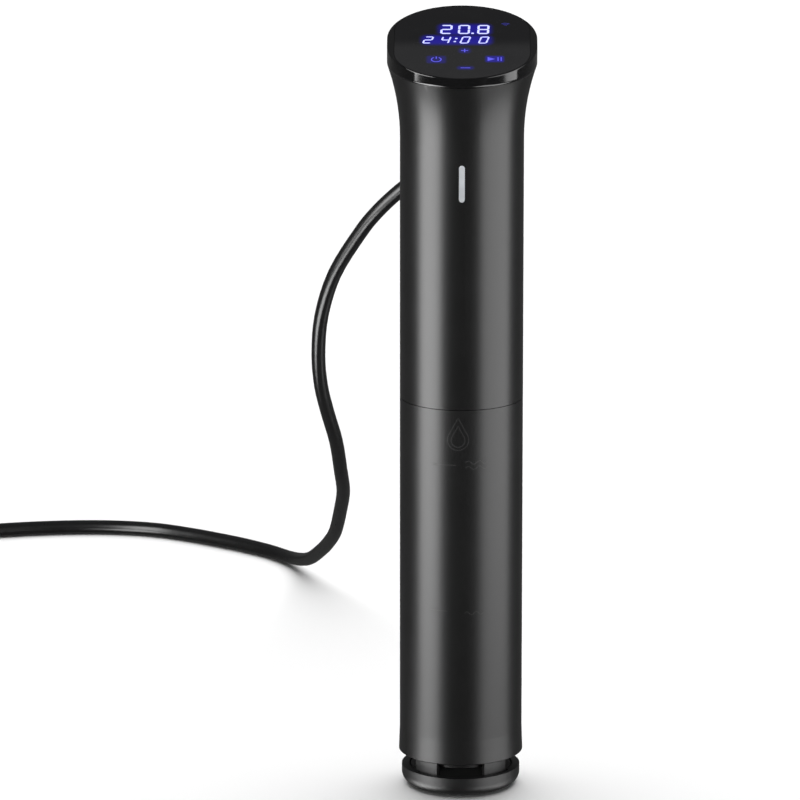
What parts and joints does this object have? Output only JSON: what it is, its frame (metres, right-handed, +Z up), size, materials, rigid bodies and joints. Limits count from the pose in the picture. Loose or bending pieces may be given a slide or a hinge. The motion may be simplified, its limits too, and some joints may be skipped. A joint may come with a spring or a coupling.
{
  "type": "immersion circulator",
  "caption": "Slim stick immersion circulator: flared head with tilted touch display, satin black tube, pull-off skirt with water outlets over a twist-off base cap, and a mains lead.",
  "frame": {"origin": "centre of the underside of the base, on the axis of the tube", "axes": "+Z up along the tube; -Y is the front, towards which the panel tilts; +Y is the back, where the lead leaves"},
  "size_m": [0.4047, 0.503, 0.3824],
  "materials": {
    "black_metal": "satin black anodised",
    "black_steel": "satin black coating on stainless steel",
    "gloss_black": "polished black plastic",
    "black_plastic": "semi-gloss moulded black plastic",
    "tinted_glass": "tinted tempered glass",
    "dark_plastic": "matte",
    "circuit_board": "green solder mask",
    "blue_light": "lit blue LED bars",
    "white_light": "frosted light guide",
    "brass": "bright",
    "bronze": "sintered",
    "tinned_steel": "tinned",
    "bright_steel": "drawn stainless",
    "aluminium": "plain",
    "iron": "ferrite",
    "copper": "lacquered copper wire",
    "grey_plastic": "glass-filled, matte",
    "white_plastic": "natural white",
    "blue_plastic": "sleeved",
    "green_plastic": "matte",
    "red_silicone": "silicone",
    "ceramic": "steatite",
    "glass": "clear",
    "rubber": "matte",
    "cord_plastic": "smooth black PVC"
  },
  "bodies": {
    "main": {"upper_housing": "black_metal", "head_bezel": "gloss_black", "display_glass": "tinted_glass", "glass_tape": "dark_plastic", "display_board": "circuit_board", "display_module": "dark_plastic", "led_digits": "blue_light", "touch_springs": "brass", "wifi_module": "tinned_steel", "buzzer": "dark_plastic", "board_screws": "bright_steel", "light_bar": "white_light", "light_board": "circuit_board", "inner_chassis": "grey_plastic", "chassis_screws": "bright_steel", "head_screws": "bright_steel", "power_board": "circuit_board", "transformer": "copper", "capacitors": "blue_plastic", "relay": "blue_plastic", "heat_sink": "aluminium", "triac": "dark_plastic", "terminal_block": "green_plastic", "fuse": "glass", "mains_wires": "cord_plastic", "heater_wires": "red_silicone", "cord_clamp": "white_plastic", "cord_boot": "cord_plastic", "bulkhead": "grey_plastic", "housing_seal": "red_silicone", "skirt_seal": "red_silicone", "heater_element": "bright_steel", "heater_nuts": "bright_steel", "heater_terminals": "ceramic", "temperature_probe": "bright_steel", "level_rods": "bright_steel", "thermal_cutoff": "ceramic", "shaft_tube": "bright_steel", "shaft_bushings": "white_plastic", "shaft_seal": "red_silicone", "motor_pillars": "brass", "motor_mount": "aluminium", "motor_can": "tinned_steel", "motor_magnets": "iron", "motor_end_bell": "dark_plastic", "motor_bushings": "bronze", "cord": "cord_plastic", "cord_coil": "cord_plastic", "cord_tie": "dark_plastic", "plug": "cord_plastic"},
    "rotor": {"armature": "copper", "shaft_coupler": "brass", "drive_shaft": "bright_steel", "impeller": "black_plastic", "impeller_nut": "bright_steel"},
    "skirt_unit": {"skirt": "black_steel", "neck_ring": "gloss_black"},
    "cap_unit": {"base_cap": "black_plastic", "foot_pad": "rubber"}
  },
  "joints": [
    {"name": "rotor_spin", "type": "hinge", "parent": "main", "child": "rotor", "pos_m": [0, 0, 0.1], "axis": [0, 0, 1], "continuous": true},
    {"name": "skirt_pull", "type": "slide", "parent": "main", "child": "skirt_unit", "axis": [0, 0, -1], "range_m": [0, 0.19]},
    {"name": "cap_twist", "type": "hinge", "parent": "skirt_unit", "child": "cap_unit", "pos_m": [0, 0, 0.005], "axis": [0, 0, 1], "range_deg": [0, 40]}
  ]
}
